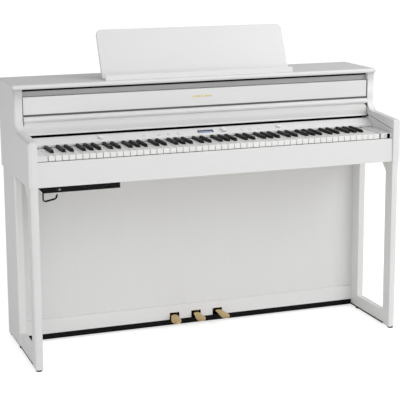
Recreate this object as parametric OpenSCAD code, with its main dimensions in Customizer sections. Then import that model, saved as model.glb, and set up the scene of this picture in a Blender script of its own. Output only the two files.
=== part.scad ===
// Cabinet upright piano with a folding fallboard, 88 keys, three pedals and a music rest.
// X runs along the keyboard, Y from the player towards the back, Z up from the floor.
// Depths are measured back from the front of the arms; place() centres them on the origin.

/* [Cabinet] */
// Width over the two side panels
cabinet_w = 1376; // [1340:1:1420]
// Depth from the arm fronts to the back
cabinet_d = 467; // [455:1:490]
// Height of the top board's upper face
cabinet_h = 954; // [940:1:980]
// Thickness of a side panel
side_t = 30; // [24:1:34]
// Height of the underside of the arms and of the key bed
arm_bottom = 635.5; // [625:0.5:640]
// Height of the arm's front upper corner
arm_top = 790; // [786:1:796]
// Depth at which the upper part of the side begins
upper_front = 212; // [208:1:216]
// Thickness of the top board
top_t = 16; // [14:1:18]
// How far the top board stands out past each side panel
top_over = 2.5; // [1:0.5:4]

/* [Legs] */
// Thickness of the leg boards
leg_t = 26; // [22:1:27]
// Depth of the front leg's rear face
leg_front_y = 54; // [48:1:60]
// Depth of the rear leg's front face
leg_rear_y = 263; // [250:1:280]
// Height of the foot pads
pad_h = 5; // [4:0.5:6]
// Upper face of the foot rail
rail_top = 55; // [50:1:65]

/* [Keyboard] */
// Width of one white key and its gap
key_pitch = 23.6; // [23:0.1:23.6]
// Gap between two neighbouring keys
key_gap = 1; // [0.8:0.1:1.2]
// Height of the white keys' tops
key_top = 740; // [738:0.5:741]
// Middle of the keyboard along X
key_centre = -5.5; // [-8:0.5:2]
// Depth of the white keys' front faces
key_front = 12; // [11:0.5:13]
// Length of a white key's wide head
head_len = 52; // [48:1:54]
// Height of a black key above the white ones
black_rise = 10; // [9:0.5:12.5]

/* [Music rest] */
// Half the width of the music rest
rest_half = 357.5; // [340:0.5:370]
// Length of the rest above its hinge line
rest_len = 178; // [160:0.5:180]
// Lean of the rest, back from upright
rest_lean = 24.75; // [20:0.25:26]

/* [Pedals] */
// Distance between neighbouring pedals
pedal_pitch = 86; // [80:1:90]
// Middle pedal's place along X
pedal_centre = 4; // [0:1:6]
// Outward turn of the two outer pedals
pedal_splay = 9; // [0:1:10]

/* [Hidden] */
$fn = 48;

white = "#f1f1ef";
black = "#1b1b1c";
ivory = "#fafaf7";
gold = "#c9a24a";
grey = "#a9aaab";

// cabinet
half_w = cabinet_w / 2;
inner_x = half_w - side_t;
fit_gap = 0.5;
side_back = cabinet_d - 2;
board_t = 12;
back_y = side_back - board_t;
top_under = cabinet_h - top_t;
top_front = upper_front - 4;
bed_top = arm_bottom + 15.5;
arm_slope = 3.3;
fillet_r = 41;
round_r = 12;

// white keys and black keys
white_count = 52;
key_left = key_centre - white_count * key_pitch / 2;
key_right = key_left + white_count * key_pitch;
white_in_octave = [0, 0, 1, 1, 2, 3, 3, 4, 4, 5, 5, 6];
is_black = [0, 1, 0, 1, 0, 0, 1, 0, 1, 0, 1, 0];
black_w = 12;
black_top_w = 9.8;
black_set = 3.5;
slot_w = black_w + 2 * key_gap;
tail_ce = (3 * key_pitch - 2 * slot_w) / 3;
tail_fb = (4 * key_pitch - 3 * slot_w) / 4;
key_rear = 240;
head_under = key_top - 17.5;
tail_under = key_top - 17;

// control panel, whose face slopes up towards the back
panel_front = 168;
panel_low = key_top + 2;
panel_lip = key_top + 9;
panel_back = 212;
panel_high = key_top + 29;
panel_t = 3;
slope = atan2(panel_high - panel_lip, panel_back - panel_front);
slope_len = norm([panel_back - panel_front, panel_high - panel_lip]);
volume_x = -389;
dial_x = 70;
tone_x = 283.5;
power_x = -234;
left_button_x = [-176, -140, -104];
right_button_x = [137, 171, 205];
stem_r = 3;
run_gap = 0.05;
button_w = 11;
button_d = 6;
button_t = 0.42;

// fallboard: two boards that fold on each other and swing down over the keys
lid_y = 214.5;
lid_z = 779.5;
lid_half = 655.5;
lid_pin_r = 3;
lid_low = 776;
lid_top = 911;
lid_back = 222;
flap_axis_y = 223;
flap_axis_z = 912;
flap_len = 71;
flap_t = 7;
bead_z = 833;
bead_r = 9;

// lower cabinet
knee_y = 319;
box_y = 314;
box_top = 83.5;
box_low = 28;
strip_low = 6;
pedal_y = 400;
pedal_z = 46;
pedal_pin_r = 3;
pedal_x = [for (i = [-1:1]) pedal_centre + i * pedal_pitch];
slot_half = 19;
slot_top = 54;

// headphone hook
hook_r = 2.5;
hook_bend = 8;
hook_rise = 11;
hook_bar = 30;

// music rest
rest_y = 266;
rest_z = cabinet_h + 6.5;
rest_t = 10;
rest_pin_r = 2.5;
rest_centre = -3;
rest_hinge_x = [-260, 260];

function arc(c, r, a0, a1, n) =
  [for (i = [0:n]) let (a = a0 + (a1 - a0) * i / n) [c[0] + r * cos(a), c[1] + r * sin(a)]];

// moves a depth measured from the arm fronts into the centred frame
module place() translate([0, -cabinet_d / 2, 0]) children();

module block(x, y, z) translate([x[0], y[0], z[0]]) cube([x[1] - x[0], y[1] - y[0], z[1] - z[0]]);

// a [depth, height] outline drawn out along X
module along_x(x0, x1) translate([x0, 0, 0]) rotate([90, 0, 90]) linear_extrude(x1 - x0) children();

module rod_x(x0, x1, y, z, r) translate([x0, y, z]) rotate([0, 90, 0]) cylinder(h = x1 - x0, r = r);

module rod_y(x, y0, y1, z, r) translate([x, y1, z]) rotate([90, 0, 0]) cylinder(h = y1 - y0, r = r);

// ---- cabinet ----

function side_outline() =
  let (zc = arm_top + (upper_front - fillet_r) * tan(arm_slope) + fillet_r / cos(arm_slope),
       nose = 5)
  concat([[side_back, arm_bottom], [side_back, top_under], [upper_front, top_under]],
    arc([upper_front - fillet_r, zc], fillet_r, 0, arm_slope - 90, 14),
    arc([nose, arm_top + nose * tan(arm_slope) - nose / cos(arm_slope)], nose,
      90 + arm_slope, 180, 6),
    [[0, arm_bottom]]);

// plan of a board whose outer front corner is rounded
module rounded_plan(x0, x1, y0, y1, r) {
  translate([x0, y0]) square([x1 - x0 - r, y1 - y0]);
  translate([x0, y0 + r]) square([x1 - x0, y1 - y0 - r]);
  translate([x1 - r, y0 + r]) circle(r);
}

module side_panel() color(white) place() difference() {
  intersection() {
    along_x(inner_x, half_w) polygon(side_outline());
    linear_extrude(cabinet_h) rounded_plan(inner_x, half_w, 0, side_back, round_r);
  }
  rod_x(inner_x - 1, inner_x + 11, lid_y, lid_z, lid_pin_r + run_gap);
  // seam that the closed fallboard lies along
  translate([inner_x - 1, 190, 781]) rotate([8.5, 0, 0]) block([0, 3.5], [-185, 0], [-1.1, 1.1]);
}

module right_side_panel() side_panel();

module left_side_panel() mirror([1, 0, 0]) side_panel();

module top_board() color(white) place() along_x(-half_w - top_over, half_w + top_over) {
  translate([top_front + 7, top_under]) square([cabinet_d - top_front - 7, top_t]);
  translate([top_front, top_under + 7]) square([8, top_t - 14]);
  for (z = [top_under + 7, cabinet_h - 7]) translate([top_front + 7, z]) circle(7);
}

module back_panel() color("#dcdcda") place() difference() {
  block([-inner_x + fit_gap, inner_x - fit_gap], [back_y, side_back],
    [bed_top + fit_gap, top_under - fit_gap]);
  block([-522, -478], [back_y - 1, side_back + 1], [676, 704]);
}

module sound_grille() color(grey) place() difference() {
  block([-inner_x + fit_gap, inner_x - fit_gap], [228, 232], [912.2, 934.5]);
  for (x = [-640:64:600], z = [917, 923, 929])
    block([x, x + 54], [227, 233], [z - 1, z + 1]);
}

// dark well behind the fallboard that its folded flap swings through
module lid_well() color("#3a3a3c") place() along_x(-inner_x + fit_gap, inner_x - fit_gap)
  polygon([[213, 758], [258, 758], [258, 934], [252, 934], [252, 763], [213, 763]]);

module key_bed() color("#cfcbc2") place() difference() {
  block([-inner_x + fit_gap, inner_x - fit_gap], [24, side_back], [arm_bottom, bed_top]);
  for (x = [-450, 450]) translate([x, 392, arm_bottom - 1]) cylinder(h = 20, r = 50);
}

module key_slip() color(white) place() along_x(-inner_x + fit_gap, inner_x - fit_gap)
  polygon([[5.5, arm_bottom], [23.5, arm_bottom], [23.5, 699], [10.5, 703], [10.5, 719.5],
    [9.5, 721], [6.5, 721], [5.5, 720]]);

module left_key_block() color(white) place()
  block([-inner_x + fit_gap, key_left - 1.5], [11, panel_front - 1], [705, key_top + 1]);

module right_key_block() color(white) place() difference() {
  block([key_right + 4, inner_x - fit_gap], [11, panel_front - 1], [705, key_top + 1]);
  block([638, 650], [10, 36], [722, 739]);
}

// ---- control panel ----

// local frame on the sloping face: Y up the slope, Z out of it
module on_slope(x, t = 0.5)
  translate([x, panel_front + t * (panel_back - panel_front),
      panel_lip + t * (panel_high - panel_lip)])
    rotate([slope, 0, 0]) children();

module control_panel() color(white) place() difference() {
  along_x(-inner_x + fit_gap, inner_x - fit_gap)
    polygon([[panel_front, panel_low], [panel_front, panel_lip], [panel_back, panel_high],
      [panel_back, panel_high - 12], [panel_back - panel_t, panel_high - 12],
      [panel_back - panel_t, panel_high - panel_t - 2],
      [panel_front + panel_t, panel_lip - 2], [panel_front + panel_t, panel_low]]);
  on_slope(0) block([-31, 31], [-9.5, 9.5], [-1.4, 2]);
  for (x = [volume_x, dial_x, tone_x])
    on_slope(x) translate([0, 0, -9]) cylinder(h = 12, r = stem_r + run_gap);
  for (x = concat([power_x], left_button_x, right_button_x))
    on_slope(x, button_t)
      block([-button_w / 2 - 0.4, button_w / 2 + 0.4], [-button_d / 2 - 0.4, button_d / 2 + 0.4],
        [-9, 3]);
}

module display_window() color("#1d2f52") place() on_slope(0)
  block([-30.7, 30.7], [-9.2, 9.2], [-1.4, 0.4]);

module knob(x, r, h) place() on_slope(x) {
  translate([0, 0, 0.6]) cylinder(h = h - 1, r = r);
  translate([0, 0, h - 0.41]) cylinder(h = 0.8, r1 = r, r2 = r - 0.8);
  translate([0, 0, -6]) cylinder(h = 7, r = stem_r);
}

module volume_knob() color(white) knob(volume_x, 8, 8);

module tone_knob() color(white) knob(tone_x, 8, 8);

module select_dial() color(white) knob(dial_x, 10, 9);

module push_button(x) color("#e6e6e4") place() on_slope(x, button_t)
  block([-button_w / 2, button_w / 2], [-button_d / 2, button_d / 2], [-5, 1.8]);

module power_button() push_button(power_x);
module left_button_1() push_button(left_button_x[0]);
module left_button_2() push_button(left_button_x[1]);
module left_button_3() push_button(left_button_x[2]);
module right_button_1() push_button(right_button_x[0]);
module right_button_2() push_button(right_button_x[1]);
module right_button_3() push_button(right_button_x[2]);

// ---- legs and lower cabinet ----

module front_leg() color(white) place() intersection() {
  along_x(inner_x, inner_x + leg_t)
    polygon([[3, pad_h], [38, pad_h], [44, 11], [leg_front_y, 11], [leg_front_y, 592],
      [leg_front_y + 43, arm_bottom], [3, arm_bottom]]);
  linear_extrude(arm_bottom) rounded_plan(inner_x, inner_x + leg_t, 3, 120, 10);
}

module rear_leg() color(white) place() difference() {
  linear_extrude(arm_bottom)
    rounded_plan(inner_x, inner_x + leg_t, leg_rear_y, cabinet_d - 10, 6);
  block([inner_x - 1, half_w], [0, cabinet_d], [-1, pad_h]);
  block([inner_x - 1, half_w], [leg_rear_y - 1, 420], [-1, 11]);
}

module right_front_leg() front_leg();

module left_front_leg() mirror([1, 0, 0]) front_leg();

module right_rear_leg() rear_leg();

module left_rear_leg() mirror([1, 0, 0]) rear_leg();

module foot_rails() color(white) place() for (s = [0, 1]) mirror([s, 0, 0])
  block([inner_x, inner_x + leg_t - 2], [leg_front_y, leg_rear_y], [11, rail_top]);

// [depth, height] of the three pads under each leg frame
module foot_pads() color(black) place()
  for (s = [0, 1], pad = [[14, pad_h], [276, 11], [438, pad_h]]) mirror([s, 0, 0])
    translate([inner_x + leg_t / 2, pad[0], 0]) cylinder(h = pad[1], r = 11);

module knee_panel() color(white) place()
  block([-inner_x, inner_x], [knee_y, knee_y + board_t], [box_top, arm_bottom]);

module pedal_box() color(white) place() difference() {
  union() {
    block([-inner_x, inner_x], [box_y, box_y + 15], [box_low, box_top]);
    block([-inner_x, inner_x], [box_y + 15, 442], [box_top - 12, box_top]);
    block([-inner_x, inner_x], [442, 454], [box_low, box_top]);
  }
  for (x = pedal_x) block([x - slot_half, x + slot_half], [box_y - 1, box_y + 16],
    [box_low - 1, slot_top]);
}

module kick_strip() color(black) place()
  block([-inner_x, inner_x], [box_y + 3, 454], [strip_low, box_low]);

// ---- pedals ----

// height of the pedal's middle line, d forward of the arm's end
function pedal_drop(d) = -13 * pow(d / 90, 1.6);

module pedal_blade() intersection() {
  translate([0, 0, -30]) linear_extrude(60) {
    polygon([[-12, 0], [12, 0], [13, -36], [18, -70], [-18, -70], [-13, -36]]);
    translate([0, -70]) circle(18);
  }
  along_x(-20, 20) polygon(concat(
    [for (i = [0:9]) let (d = i * 10) [-d, pedal_drop(d) + 4 - d / 60]],
    [for (i = [9:-1:0]) let (d = i * 10) [-d, pedal_drop(d) - 4 + d / 60]]));
}

module pedal(x, turn) color(gold) place() translate([x, pedal_y, pedal_z]) difference() {
  union() {
    block([-12, 12], [-73, 12], [-4, 4]);
    translate([0, -72, 0]) rotate([0, 0, turn]) pedal_blade();
    rod_x(-12, 12, 0, 0, 8);
  }
  rod_x(-13, 13, 0, 0, pedal_pin_r + run_gap);
}

module left_pedal() pedal(pedal_x[0], -pedal_splay);
module middle_pedal() pedal(pedal_x[1], 0);
module right_pedal() pedal(pedal_x[2], pedal_splay);

module pedal_brackets() color(grey) place() for (x = pedal_x) translate([x, 0, 0]) {
  rod_x(-14, 14, pedal_y, pedal_z, pedal_pin_r);
  for (s = [-1, 1]) translate([s * 15, 0, 0]) {
    block([-2, 2], [pedal_y - 9, pedal_y + 9], [box_low, pedal_z]);
    rod_x(-2, 2, pedal_y, pedal_z, 9);
  }
}

// ---- sockets under the key bed ----

module jack_box() color(black) place() difference() {
  translate([0, 70, 0]) rotate([90, 0, 0]) linear_extrude(62)
    polygon([[-657, arm_bottom], [-374.5, arm_bottom], [-374.5, 616], [-639, 616]]);
  for (x = [-502, -478]) rod_y(x, 7, 30, 625.5, 3.25);
  rod_y(-585, 7, 24, 625.5, 1.8);
  block([-422, -412], [7, 22], [621, 630]);
}

// bent wire with soft sleeves: down from the socket box, then inwards along a rising bar
module headphone_hook() color(black) place() translate([-634, 40, 590]) {
  cylinder(h = 26, r = hook_r);
  translate([hook_bend, 0, 0]) {
    rotate([90, 0, 0]) rotate_extrude(angle = 90 + hook_rise, $fn = 48)
      translate([-hook_bend, 0]) circle(hook_r);
    rotate([0, -hook_rise, 0]) {
      rod_x(-1.5, hook_bar + 1.5, 0, -hook_bend, hook_r + 0.6);
      translate([hook_bar, 0, 0]) {
        rotate([90, -30, 0]) rotate_extrude(angle = -60, $fn = 48)
          translate([hook_bend, 0]) circle(hook_r);
        translate([hook_bend * cos(30), 0, -hook_bend * sin(30)]) rotate([0, 30, 0])
          translate([0, 0, -1.5]) cylinder(h = 10.5, r = hook_r + 0.6);
      }
    }
  }
}

// ---- music rest ----

module music_ledge() color(white) place() difference() {
  along_x(rest_centre - rest_half + 1, rest_centre + rest_half - 1)
    polygon([[219, cabinet_h], [257, cabinet_h], [257, cabinet_h + 4], [227, cabinet_h + 5],
      [227, cabinet_h + 18], [225, cabinet_h + 20], [221, cabinet_h + 20],
      [219, cabinet_h + 18]]);
}

module rest_hinges() color(grey) place() for (x = rest_hinge_x) translate([rest_centre + x, 0, 0]) {
  rod_x(-16, 16, rest_y, rest_z, rest_pin_r);
  rod_x(-3, 3, rest_y, rest_z, 4.8);
  block([-3, 3], [rest_y - 4.8, rest_y + 4.8], [cabinet_h, rest_z]);
}

module music_rest() color(white) place() translate([rest_centre, rest_y, rest_z])
  rotate([-rest_lean, 0, 0])
  difference() {
    union() {
      rod_x(-rest_half, rest_half, 0, 0, rest_t / 2);
      translate([0, rest_t / 2, 0]) rotate([90, 0, 0]) linear_extrude(rest_t) {
        translate([-rest_half, 0]) square([2 * rest_half, rest_len - 20]);
        translate([-rest_half + 20, 0]) square([2 * rest_half - 40, rest_len]);
        for (s = [-1, 1]) translate([s * (rest_half - 20), rest_len - 20]) circle(20);
      }
    }
    for (x = rest_hinge_x) {
      block([x - 4, x + 4], [-8, 8], [-8, 8]);
      rod_x(x - 17, x + 17, 0, 0, rest_pin_r + run_gap);
    }
  }

// ---- inside the cabinet ----

module key_frame() color("#8f9499") place() {
  block([key_left, key_right], [30, 244], [bed_top, bed_top + 4]);
  for (y = [34, 120, 222])
    block([key_left, key_right], [y, y + 20], [bed_top + 4, y > 200 ? 719 : 704]);
}

module circuit_board() color("#2c6b45") place() {
  block([-300, 60], [290, 420], [bed_top + 8, bed_top + 10]);
  for (x = [-260, -180, -60, 20]) block([x, x + 30], [320, 350], [bed_top + 10, bed_top + 16]);
  for (x = [-290, 50], y = [296, 414]) translate([x, y, bed_top]) cylinder(h = 8, r = 4);
}

module speakers() color("#2b2b2e") place() for (x = [-450, 450]) translate([x, 392, bed_top])
  rotate_extrude() polygon([[0, 14], [20, 14], [46, 2], [46, 0], [58, 0], [58, 4], [50, 5],
    [30, 26], [30, 46], [0, 46]]);

module power_inlet() color(black) place() difference() {
  union() {
    block([-521.5, -478.5], [back_y - 18, side_back], [676.5, 703.5]);
    block([-526, -474], [back_y - 2, back_y], [672, 708]);
  }
  block([-512, -488], [back_y - 10, side_back + 1], [682, 698]);
}

module cabinet_screws() color(grey) place() {
  for (x = [-620:248:620], z = [670, 918]) rod_y(x, side_back, side_back + 1.8, z, 5);
}

// ---- fallboard ----

function lid_outline() = concat(
  [[lid_back, lid_top], [lid_back, lid_low], [212, lid_low], [211.5, 780], [213.5, 781],
   [213.5, 784]],
  [for (i = [1:7]) let (z = 784 + 5 * i) [213.5 - 3 * sin(180 * i / 8), z]],
  [[213.5, 824]],
  arc([213, bead_z], bead_r, -80, -260, 14),
  [[217.5, 843], [217.5, 850], [215.5, 851], [215.5, lid_top]]);

module fallboard() color(white) place() along_x(-lid_half, lid_half) polygon(lid_outline());

module fallboard_pivots() color(grey) place() for (s = [0, 1]) mirror([s, 0, 0]) {
  block([lid_half, lid_half + 1], [lid_y - 2, lid_back - 1], [lid_low + 1, lid_z + 16]);
  rod_x(lid_half + 0.5, inner_x + 10, lid_y, lid_z, lid_pin_r);
}

module fallboard_flap() color(white) place()
  along_x(-lid_half + 0.5, lid_half - 0.5) {
    translate([flap_axis_y + 1, lid_top - flap_len + flap_t / 2])
      square([flap_t, flap_len - flap_t / 2]);
    translate([flap_axis_y + 1 + flap_t / 2, lid_top - flap_len + flap_t / 2])
      circle(flap_t / 2);
  }

// ---- keys ----

// key n counts from 0 at the left; note 0 of an octave is C
function note(n) = (n + 9) % 12;
function white_index(n) = 7 * floor((n + 9) / 12) + white_in_octave[note(n)] - 5;
function octave_left(n) = key_left + key_pitch * (7 * floor((n + 9) / 12) - 5);

// left edge of a key's narrow tail, from its octave's C
function tail_left(k) = k < 5 ? (tail_ce + slot_w) * floor(k / 2)
  : 3 * key_pitch + (tail_fb + slot_w) * floor((k - 5) / 2);
function tail_w(k) = k < 5 ? tail_ce : tail_fb;
// middle of a black key, from its octave's C
function black_mid(k) = tail_left(k - 1) + tail_w(k - 1) + slot_w / 2;

module white_key(n) {
  k = note(n);
  x0 = key_left + key_pitch * white_index(n);
  open_left = n == 0 || k == 0 || k == 5;
  open_right = n == 87 || k == 4 || k == 11;
  t0 = open_left ? x0 + key_gap / 2 : octave_left(n) + tail_left(k);
  t1 = open_right ? x0 + key_pitch - key_gap / 2 : octave_left(n) + tail_left(k) + tail_w(k);
  block([x0 + key_gap / 2, x0 + key_pitch - key_gap / 2], [key_front, key_front + head_len],
    [head_under, key_top]);
  block([t0, t1], [key_front + head_len, key_rear], [tail_under, key_top]);
}

module black_key(n) {
  mid = octave_left(n) + black_mid(note(n));
  front = key_front + head_len + black_set;
  crown = key_top + black_rise;
  intersection() {
    along_x(mid - black_w / 2, mid + black_w / 2)
      polygon([[front, tail_under], [front, key_top], [front + 4, crown - 1],
        [front + 7, crown], [panel_front - 1.5, crown], [panel_front - 1.5, key_top - 1],
        [key_rear, key_top - 1], [key_rear, tail_under]]);
    translate([mid, key_rear + 1, 0]) rotate([90, 0, 0]) linear_extrude(key_rear)
      polygon([[-black_w / 2, tail_under - 1], [black_w / 2, tail_under - 1],
        [black_w / 2, key_top], [black_top_w / 2, crown + 0.1],
        [-black_top_w / 2, crown + 0.1], [-black_w / 2, key_top]]);
  }
}

module key_group(k) color(is_black[k] ? black : ivory) place()
  for (n = [0:87]) if (note(n) == k) if (is_black[k]) black_key(n); else white_key(n);

module keys_c() key_group(0);
module keys_c_sharp() key_group(1);
module keys_d() key_group(2);
module keys_d_sharp() key_group(3);
module keys_e() key_group(4);
module keys_f() key_group(5);
module keys_f_sharp() key_group(6);
module keys_g() key_group(7);
module keys_g_sharp() key_group(8);
module keys_a() key_group(9);
module keys_a_sharp() key_group(10);
module keys_b() key_group(11);

left_side_panel();
right_side_panel();
top_board();
back_panel();
sound_grille();
lid_well();
key_bed();
key_slip();
left_key_block();
right_key_block();
control_panel();
display_window();
left_front_leg();
left_rear_leg();
right_front_leg();
right_rear_leg();
foot_rails();
foot_pads();
knee_panel();
pedal_box();
kick_strip();
jack_box();
headphone_hook();
music_ledge();
rest_hinges();
key_frame();
circuit_board();
speakers();
power_inlet();
pedal_brackets();
cabinet_screws();
fallboard();
fallboard_pivots();
fallboard_flap();
music_rest();
keys_c();
keys_c_sharp();
keys_d();
keys_d_sharp();
keys_e();
keys_f();
keys_f_sharp();
keys_g();
keys_g_sharp();
keys_a();
keys_a_sharp();
keys_b();
left_pedal();
middle_pedal();
right_pedal();
volume_knob();
tone_knob();
select_dial();
power_button();
left_button_1();
left_button_2();
left_button_3();
right_button_1();
right_button_2();
right_button_3();
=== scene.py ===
"""Looks of the white cabinet upright piano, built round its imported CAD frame."""

import math

import bmesh
import bpy
from mathutils import Matrix, Vector


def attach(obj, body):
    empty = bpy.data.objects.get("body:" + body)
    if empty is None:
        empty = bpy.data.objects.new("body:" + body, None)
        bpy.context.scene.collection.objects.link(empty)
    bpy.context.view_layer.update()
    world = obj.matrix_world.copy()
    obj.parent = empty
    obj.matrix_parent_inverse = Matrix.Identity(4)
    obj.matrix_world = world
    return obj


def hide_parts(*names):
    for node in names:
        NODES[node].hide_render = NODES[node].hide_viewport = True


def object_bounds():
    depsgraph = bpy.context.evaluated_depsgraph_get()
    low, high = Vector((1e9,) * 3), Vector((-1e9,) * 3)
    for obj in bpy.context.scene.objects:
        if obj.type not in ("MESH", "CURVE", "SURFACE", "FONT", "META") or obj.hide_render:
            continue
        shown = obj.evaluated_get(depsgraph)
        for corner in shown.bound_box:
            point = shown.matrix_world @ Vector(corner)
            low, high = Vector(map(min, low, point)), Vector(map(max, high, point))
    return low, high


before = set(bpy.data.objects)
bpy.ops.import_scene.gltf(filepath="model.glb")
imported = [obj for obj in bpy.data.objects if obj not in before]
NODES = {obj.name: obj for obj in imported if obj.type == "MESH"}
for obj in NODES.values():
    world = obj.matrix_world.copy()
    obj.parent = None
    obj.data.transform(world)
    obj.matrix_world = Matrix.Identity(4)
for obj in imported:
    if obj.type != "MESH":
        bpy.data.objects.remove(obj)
cad_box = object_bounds()
MM = 0.001
FRONT = cad_box[0].y  # the arms' front faces, from which depths are measured


def at(x, y, z):
    """Millimetres across, back from the arm fronts, and up, as a point of the frame."""
    return Vector((x * MM, y * MM + FRONT, z * MM))


# ---------------- camera, light and floor

CAM_PLACE = at(-1555.8, -4058.0, 1496.3)
CAM_AZ, CAM_DOWN, CAM_ROLL = 0.351, 0.1944, -0.0046
CAM_LENS, CAM_SENSOR, CAM_SHIFT = 114.74, 36, (-0.014, -0.067)
CAM_FAR = 120
ROOM_BRIGHT_WAY = Vector((0.5, -0.85, 0.0)).normalized()
ROOM_DIM, ROOM_BRIGHT = 0.28, 1.10
FLOOR_SIDES, FLOOR_REACH, FLOOR_Z = 64, 55.0, -0.0004
FLOOR_SEEN, FLOOR_GLOW = 0.62, 0.06


def make_camera():
    cam = bpy.data.objects.new("camera", bpy.data.cameras.new("camera"))
    bpy.context.scene.collection.objects.link(cam)
    ahead = Vector((math.sin(CAM_AZ) * math.cos(CAM_DOWN), math.cos(CAM_AZ) * math.cos(CAM_DOWN),
                    -math.sin(CAM_DOWN)))
    right = ahead.cross(Vector((0, 0, 1))).normalized()
    up = right.cross(ahead)
    c, s = math.cos(CAM_ROLL), math.sin(CAM_ROLL)
    right, up = right * c + up * s, up * c - right * s
    turn = Matrix((right, up, -ahead)).transposed()
    cam.matrix_world = Matrix.Translation(CAM_PLACE) @ turn.to_4x4()
    cam.data.lens = CAM_LENS
    cam.data.sensor_width = CAM_SENSOR
    cam.data.shift_x, cam.data.shift_y = CAM_SHIFT
    cam.data.clip_end = CAM_FAR
    bpy.context.scene.camera = cam


def area_light(name, place, target, size, watts):
    data = bpy.data.lights.new(name, "AREA")
    data.shape, data.size, data.size_y = "RECTANGLE", size[0], size[1]
    data.energy = watts
    lamp = bpy.data.objects.new(name, data)
    bpy.context.scene.collection.objects.link(lamp)
    lamp.location = place
    lamp.rotation_mode = "QUATERNION"
    lamp.rotation_quaternion = (Vector(target) - Vector(place)).to_track_quat("-Z", "Y")


def make_world():
    world = bpy.data.worlds.new("studio")
    bpy.context.scene.world = world
    world.use_nodes = True
    nt = world.node_tree
    nt.nodes.clear()
    out = nt.nodes.new("ShaderNodeOutputWorld")
    seen = nt.nodes.new("ShaderNodeBackground")
    seen.inputs["Color"].default_value = (1, 1, 1, 1)
    light = nt.nodes.new("ShaderNodeBackground")
    path = nt.nodes.new("ShaderNodeLightPath")
    mix = nt.nodes.new("ShaderNodeMixShader")
    # the room is brighter towards the front right than overhead and at the left
    coord = nt.nodes.new("ShaderNodeTexCoord")
    dot = nt.nodes.new("ShaderNodeVectorMath")
    dot.operation = "DOT_PRODUCT"
    dot.inputs[1].default_value = ROOM_BRIGHT_WAY
    ramp = nt.nodes.new("ShaderNodeMapRange")
    for key, value in (("From Min", -1), ("From Max", 1), ("To Min", ROOM_DIM),
                       ("To Max", ROOM_BRIGHT)):
        ramp.inputs[key].default_value = value
    nt.links.new(coord.outputs["Generated"], dot.inputs[0])
    nt.links.new(dot.outputs["Value"], ramp.inputs["Value"])
    nt.links.new(ramp.outputs["Result"], light.inputs["Strength"])
    nt.links.new(path.outputs["Is Camera Ray"], mix.inputs["Fac"])
    nt.links.new(light.outputs[0], mix.inputs[1])
    nt.links.new(seen.outputs[0], mix.inputs[2])
    nt.links.new(mix.outputs[0], out.inputs["Surface"])


def make_floor():
    """A plain pale floor that runs out to the horizon."""
    mesh = bpy.data.meshes.new("floor")
    n, r = FLOOR_SIDES, FLOOR_REACH
    ring = [(r * math.cos(2 * math.pi * i / n), r * math.sin(2 * math.pi * i / n), FLOOR_Z)
            for i in range(n)]
    mesh.from_pydata(ring, [], [list(range(n))])
    floor = bpy.data.objects.new("floor", mesh)
    bpy.context.scene.collection.objects.link(floor)
    mat = bpy.data.materials.new("pale_floor")
    mat.use_nodes = True
    nt = mat.node_tree
    shader = nt.nodes["Principled BSDF"]
    coord = nt.nodes.new("ShaderNodeTexCoord")
    noise = nt.nodes.new("ShaderNodeTexNoise")
    noise.inputs["Scale"].default_value = 1.5
    ramp = nt.nodes.new("ShaderNodeMapRange")
    ramp.inputs["To Min"].default_value = 0.70
    ramp.inputs["To Max"].default_value = 0.72
    nt.links.new(coord.outputs["Object"], noise.inputs["Vector"])
    nt.links.new(noise.outputs["Fac"], ramp.inputs["Value"])
    nt.links.new(ramp.outputs["Result"], shader.inputs["Base Color"])
    shader.inputs["Roughness"].default_value = 0.9
    shader.inputs["Specular IOR Level"].default_value = 0.1
    # the eye sees the floor as bright as the room, while it throws back less light
    path = nt.nodes.new("ShaderNodeLightPath")
    glow = nt.nodes.new("ShaderNodeMath")
    glow.operation = "MULTIPLY_ADD"
    glow.inputs[1].default_value = FLOOR_SEEN
    glow.inputs[2].default_value = FLOOR_GLOW
    nt.links.new(path.outputs["Is Camera Ray"], glow.inputs[0])
    shader.inputs["Emission Color"].default_value = (1, 1, 1, 1)
    nt.links.new(glow.outputs[0], shader.inputs["Emission Strength"])
    mesh.materials.append(mat)


bpy.context.scene.view_settings.view_transform = "Standard"
make_camera()
make_world()
make_floor()
area_light("key", (2.6, -2.4, 2.6), (0.3, 0, 0.6), (2.0, 2.0), 31)
area_light("front", (1.0, -4.5, 0.5), (0.3, 0.2, 0.4), (2.6, 1.2), 24)
area_light("side", (-3.2, -0.7, 0.1), (-0.6, 0.1, 0.15), (1.6, 0.8), 25)
area_light("sky", (2.1, -0.5, 3.0), (0.5, 0, 0.8), (2.0, 2.0), 17)

# ---------------- materials


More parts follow.
